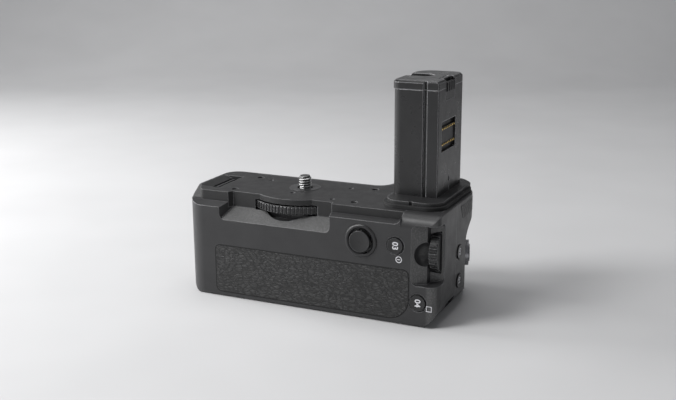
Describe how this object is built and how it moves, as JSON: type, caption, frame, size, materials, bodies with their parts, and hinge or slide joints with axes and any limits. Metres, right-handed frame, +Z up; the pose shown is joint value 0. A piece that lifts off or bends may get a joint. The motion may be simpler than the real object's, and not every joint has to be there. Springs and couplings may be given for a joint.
{
  "type": "camera battery grip",
  "caption": "Vertical battery grip for a camera: housing with a chamber tower, attachment screw with knurled wheel, finger dials, buttons, thumb stick and a sliding battery tray.",
  "frame": {"origin": "on the axis of the attachment screw and the tripod socket, in the plane of the base", "axes": "+Z up along the attachment screw, +X towards the end with the shutter button, -Y towards the rear face with the thumb stick"},
  "size_m": [0.1337, 0.0716, 0.1105],
  "materials": {
    "moulded_cover": "satin",
    "deck_cover": "satin",
    "soft_rubber": "matte",
    "steel_socket": "satin",
    "dark_screws": "satin",
    "chassis_metal": "satin",
    "board_laminate": "satin",
    "bearing_brass": "satin",
    "ring_plastic": "satin",
    "grain_rubber": "matte",
    "switch_black": "matte",
    "shaft_steel": "satin",
    "gold_contact": "polished",
    "tower_plastic": "satin",
    "contact_plastic": "satin",
    "screw_steel": "polished",
    "dial_rubber": "satin",
    "stick_rubber": "matte",
    "button_plastic": "satin",
    "button_metal": "satin",
    "switch_metal": "satin",
    "finger_dial_plastic": "satin",
    "pack_plastic": "satin"
  },
  "bodies": {
    "housing": {"rear_cover": "moulded_cover", "front_cover": "moulded_cover", "top_deck": "deck_cover", "base_plate": "deck_cover", "base_pad": "soft_rubber", "tripod_socket": "steel_socket", "base_screws": "dark_screws", "deck_screws": "dark_screws", "deck_posts": "bearing_brass", "chassis_plate": "chassis_metal", "main_board": "board_laminate", "dial_plate": "chassis_metal", "dial_bearing": "bearing_brass", "screw_escutcheon": "ring_plastic", "rear_grip_skin": "grain_rubber", "front_grip_skin": "grain_rubber", "end_grip_skin": "grain_rubber", "stick_bezel": "ring_plastic", "stick_base": "ring_plastic", "button_switches": "switch_black", "rear_control_board": "board_laminate", "slant_control_board": "board_laminate", "rear_dial_shaft": "shaft_steel", "front_dial_shaft": "shaft_steel", "contact_carrier": "switch_black", "contact_springs": "gold_contact", "tower_casing": "tower_plastic", "tower_cap": "tower_plastic", "tower_contact_block": "contact_plastic", "tower_contact_pins": "gold_contact", "tower_board": "board_laminate", "flange_seal": "soft_rubber", "flange_plate": "deck_cover"},
    "screw_dial": {"attachment_screw": "screw_steel", "attachment_dial": "dial_rubber", "screw_retainer": "shaft_steel"},
    "stick_frame": {"stick_cradle": "shaft_steel"},
    "stick_ring": {"stick_yoke": "shaft_steel"},
    "stick": {"thumb_stick": "stick_rubber"},
    "focus_key": {"focus_button": "button_plastic"},
    "exposure_key": {"exposure_button": "button_plastic"},
    "custom_key_low": {"custom_button_low": "button_plastic"},
    "custom_key_high": {"custom_button_high": "button_plastic"},
    "shutter": {"shutter_button": "button_metal"},
    "switch_ring": {"power_switch": "switch_metal"},
    "thumb_dial": {"rear_dial": "finger_dial_plastic"},
    "fore_dial": {"front_dial": "finger_dial_plastic"},
    "tray": {"battery_tray": "switch_black", "battery_pack_outer": "pack_plastic", "battery_pack_inner": "pack_plastic", "tray_end_cover": "moulded_cover", "tray_terminals": "gold_contact"},
    "tray_lock": {"tray_latch": "button_plastic"},
    "chamber_latch": {"tower_latch": "button_plastic"}
  },
  "joints": [
    {"name": "attachment_dial_turn", "type": "hinge", "parent": "housing", "child": "screw_dial", "pos_m": [0, 0, 0.0477], "axis": [0, 0, 1], "continuous": true},
    {"name": "stick_tilt_up_down", "type": "hinge", "parent": "housing", "child": "stick_frame", "pos_m": [0.0426, -0.0245, 0.0384], "axis": [1, 0, 0], "range_deg": [-5, 5], "stiffness_Nm_per_rad": 0.03},
    {"name": "stick_tilt_sideways", "type": "hinge", "parent": "stick_frame", "child": "stick_ring", "pos_m": [0.0426, -0.0245, 0.0384], "axis": [0, 0, 1], "range_deg": [-5, 5], "stiffness_Nm_per_rad": 0.03},
    {"name": "stick_press", "type": "slide", "parent": "stick_ring", "child": "stick", "axis": [0, 1, 0], "range_m": [0, 0.0004], "stiffness_N_per_m": 1500},
    {"name": "focus_button_press", "type": "slide", "parent": "housing", "child": "focus_key", "axis": [0, 1, 0], "range_m": [0, 0.0004], "stiffness_N_per_m": 1200},
    {"name": "exposure_button_press", "type": "slide", "parent": "housing", "child": "exposure_key", "axis": [0, 1, 0], "range_m": [0, 0.0004], "stiffness_N_per_m": 1200},
    {"name": "custom_button_low_press", "type": "slide", "parent": "housing", "child": "custom_key_low", "axis": [-1, 0, 0], "range_m": [0, 0.0004], "stiffness_N_per_m": 1200},
    {"name": "custom_button_high_press", "type": "slide", "parent": "housing", "child": "custom_key_high", "axis": [-1, 0, 0], "range_m": [0, 0.0004], "stiffness_N_per_m": 1200},
    {"name": "shutter_press", "type": "slide", "parent": "housing", "child": "shutter", "axis": [-0.9455, -0.3256, 0], "range_m": [0, 0.0009], "stiffness_N_per_m": 800},
    {"name": "power_switch_turn", "type": "hinge", "parent": "housing", "child": "switch_ring", "pos_m": [0.07577, 0.02469, 0.0215], "axis": [0.9455, 0.3256, 0], "range_deg": [0, 35]},
    {"name": "rear_dial_turn", "type": "hinge", "parent": "housing", "child": "thumb_dial", "pos_m": [0.0763, -0.0145, 0.0343], "axis": [1, 0, 0], "continuous": true},
    {"name": "front_dial_turn", "type": "hinge", "parent": "housing", "child": "fore_dial", "pos_m": [0.0564, 0.0324, 0.0226], "axis": [1, 0, 0], "continuous": true},
    {"name": "tray_slide", "type": "slide", "parent": "housing", "child": "tray", "axis": [-1, 0, 0], "range_m": [0, 0.108]},
    {"name": "tray_latch_turn", "type": "hinge", "parent": "tray", "child": "tray_lock", "pos_m": [-0.0532, -0.005, 0.0235], "axis": [1, 0, 0], "range_deg": [0, 90]},
    {"name": "chamber_latch_press", "type": "slide", "parent": "housing", "child": "chamber_latch", "axis": [-1, 0, 0], "range_m": [0, 0.0006], "stiffness_N_per_m": 1200}
  ]
}
